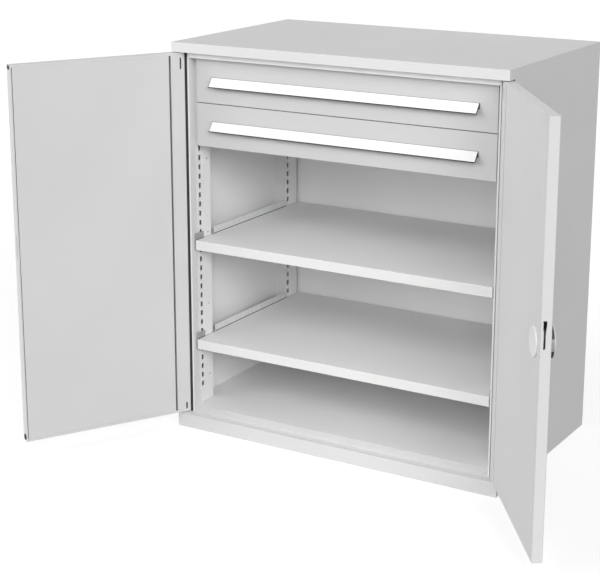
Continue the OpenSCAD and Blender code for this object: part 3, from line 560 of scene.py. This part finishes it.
# Grips: a black profile that slopes forwards and down, with a white strip slid into its face.
# The profile shows as a thin line above the strip and at its ends, and as its lower lip.
profile_edge = 0.0002
lip_reach = 0.0001
strip_rise = 0.0004
strip_margin = 0.0013
strip_short = 0.0001
end_margin = 0.0016
grip_black = moulded_plastic("grip_black", (0.03, 0.03, 0.032), rough=0.45)
strip_white = powder_coat("strip_white", (0.84, 0.84, 0.84), rough=0.5, grain=0.02)
for level in ("upper", "lower"):
    node = level + "_drawer_grip"
    profile = rounded_sheet(node, profile_edge, grip_black, steps=1, name=level + "_grip_profile")
    low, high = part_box(node)
    lip = max(v.co.z for v in nodes[node].data.vertices if v.co.y < low.y + lip_reach)
    top_edge = Vector((0, high.y, high.z))
    down = Vector((0, low.y, lip)) - top_edge
    slope = down.length
    down.normalize()
    outward = Vector((0, down.z, -down.y))
    half = high.x - end_margin
    corners = []
    for along in (strip_margin, slope - strip_short):
        for rise in (-strip_rise, strip_rise):
            for x in (-half, half):
                spot = top_edge + down * along + outward * rise
                corners.append((x, spot.y, spot.z))
    strip_mesh = bpy.data.meshes.new(level + "_grip_strip")
    strip_mesh.from_pydata(corners, [], [
        (0, 1, 5, 4), (2, 6, 7, 3), (0, 2, 3, 1), (4, 5, 7, 6), (0, 4, 6, 2), (1, 3, 7, 5)])
    strip_mesh.materials.append(strip_white)
    form = bmesh.new()
    form.from_mesh(strip_mesh)
    bmesh.ops.recalc_face_normals(form, faces=form.faces)
    form.to_mesh(strip_mesh)
    form.free()
    strip = bpy.data.objects.new(level + "_grip_strip", strip_mesh)
    scene.collection.objects.link(strip)
    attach(strip, level + "_drawer")


# Runners: three nested channels on each side of a drawer, cold-rolled and zinc-plated. The outer
# one is screwed to the posts, the inner one to the drawer, and the middle one runs between them.
runner_edge = 0.0003
runner_zinc = plated_steel("runner_zinc", (0.62, 0.63, 0.64), rough=0.34, streak=(60, 3, 60))
for channel in ("fixed", "middle", "drawer"):
    for level in ("upper", "lower"):
        node = level + "_" + channel + "_runners"
        piece = rounded_sheet(node, runner_edge, runner_zinc, steps=1)


# Runner screws: cross-slotted screws of plated steel, in a row on each inner channel. They hold
# the channel to the wall of the drawer and travel with it.
screw_sizes = {
    "Head Radius": 0.0034,
    "Head Height": 0.0012,
    "Slot Width": 0.0007,
    "Slot Depth": 0.0006,
}
crown_share = 0.72
slot_share = 1.05
head_sides = 20
screw_tree = bpy.data.node_groups.new("screw_row", "GeometryNodeTree")
screw_tree.interface.new_socket("Places", in_out="INPUT", socket_type="NodeSocketGeometry")
screw_sockets = {}
for label, size in screw_sizes.items():
    socket = screw_tree.interface.new_socket(
        label, in_out="INPUT", socket_type="NodeSocketFloat")
    socket.default_value = size
    screw_sockets[label] = socket.identifier
screw_tree.interface.new_socket("Screws", in_out="OUTPUT", socket_type="NodeSocketGeometry")
given = screw_tree.nodes.new("NodeGroupInput")
result = screw_tree.nodes.new("NodeGroupOutput")
link = screw_tree.links.new


def screw_maths(operation, first, second):
    """One sum in the tree, of sockets or plain numbers."""
    sum_node = screw_tree.nodes.new("ShaderNodeMath")
    sum_node.operation = operation
    for socket, value in zip(sum_node.inputs, (first, second)):
        if isinstance(value, float):
            socket.default_value = value
        else:
            link(value, socket)
    return sum_node.outputs[0]


head_radius = given.outputs["Head Radius"]
head_height = given.outputs["Head Height"]
slot_width = given.outputs["Slot Width"]
head = screw_tree.nodes.new("GeometryNodeMeshCone")
head.inputs["Vertices"].default_value = head_sides
link(screw_maths("MULTIPLY", head_radius, crown_share), head.inputs["Radius Top"])
link(head_radius, head.inputs["Radius Bottom"])
link(head_height, head.inputs["Depth"])
slot_long = screw_maths("MULTIPLY", head_radius, slot_share)
slot_base = screw_maths("SUBTRACT", head_height, given.outputs["Slot Depth"])
slot_top = screw_maths("ADD", slot_base, head_height)
slot_middle = screw_maths("MULTIPLY", screw_maths("ADD", slot_top, slot_base), 0.5)
cut = screw_tree.nodes.new("GeometryNodeMeshBoolean")
cut.operation = "DIFFERENCE"
link(head.outputs["Mesh"], cut.inputs["Mesh 1"])
for length_x, length_y in ((slot_long, slot_width), (slot_width, slot_long)):
    bar_size = screw_tree.nodes.new("ShaderNodeCombineXYZ")
    link(length_x, bar_size.inputs["X"])
    link(length_y, bar_size.inputs["Y"])
    link(head_height, bar_size.inputs["Z"])
    bar = screw_tree.nodes.new("GeometryNodeMeshCube")
    link(bar_size.outputs[0], bar.inputs["Size"])
    bar_place = screw_tree.nodes.new("ShaderNodeCombineXYZ")
    link(slot_middle, bar_place.inputs["Z"])
    move = screw_tree.nodes.new("GeometryNodeTransform")
    link(bar.outputs["Mesh"], move.inputs["Geometry"])
    link(bar_place.outputs[0], move.inputs["Translation"])
    link(move.outputs["Geometry"], cut.inputs["Mesh 2"])
facing = screw_tree.nodes.new("GeometryNodeInputNamedAttribute")
facing.data_type = "FLOAT_VECTOR"
facing.inputs["Name"].default_value = "outward"
turn = screw_tree.nodes.new("FunctionNodeAlignRotationToVector")
turn.axis = "Z"
spread = screw_tree.nodes.new("GeometryNodeInstanceOnPoints")
real = screw_tree.nodes.new("GeometryNodeRealizeInstances")
dress = screw_tree.nodes.new("GeometryNodeSetMaterial")
dress.inputs["Material"].default_value = pin_steel
link(facing.outputs["Attribute"], turn.inputs["Vector"])
link(given.outputs["Places"], spread.inputs["Points"])
link(cut.outputs["Mesh"], spread.inputs["Instance"])
link(turn.outputs["Rotation"], spread.inputs["Rotation"])
link(spread.outputs["Instances"], real.inputs["Geometry"])
link(real.outputs["Geometry"], dress.inputs["Geometry"])
link(dress.outputs["Geometry"], result.inputs[0])

screws_each = 4
screw_end = 0.045
web_in = 0.0075
for level in ("upper", "lower"):
    low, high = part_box(level + "_drawer_runners")
    web_face = high.x - web_in
    first_y = low.y + screw_end
    row_length = high.y - low.y - 2 * screw_end
    places = []
    facings = []
    for side in (-1, 1):
        for number in range(screws_each):
            y = first_y + row_length * (number / (screws_each - 1))
            places.append((side * web_face, y, (low.z + high.z) / 2))
            facings += [side, 0, 0]
    row_mesh = bpy.data.meshes.new(level + "_screw_places")
    row_mesh.from_pydata(places, [], [])
    facing_way = row_mesh.attributes.new("outward", "FLOAT_VECTOR", "POINT")
    facing_way.data.foreach_set("vector", facings)
    row = bpy.data.objects.new(level + "_screw_places", row_mesh)
    scene.collection.objects.link(row)
    maker = row.modifiers.new("screws", "NODES")
    maker.node_group = screw_tree
    for label, size in screw_sizes.items():
        maker[screw_sockets[label]] = size
    finished_row = row.evaluated_get(bpy.context.evaluated_depsgraph_get())
    screw_mesh = bpy.data.meshes.new_from_object(finished_row)
    bpy.data.objects.remove(row)
    screw_mesh.name = level + "_runner_screws"
    screws = bpy.data.objects.new(level + "_runner_screws", screw_mesh)
    scene.collection.objects.link(screws)
    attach(screws, level + "_drawer")
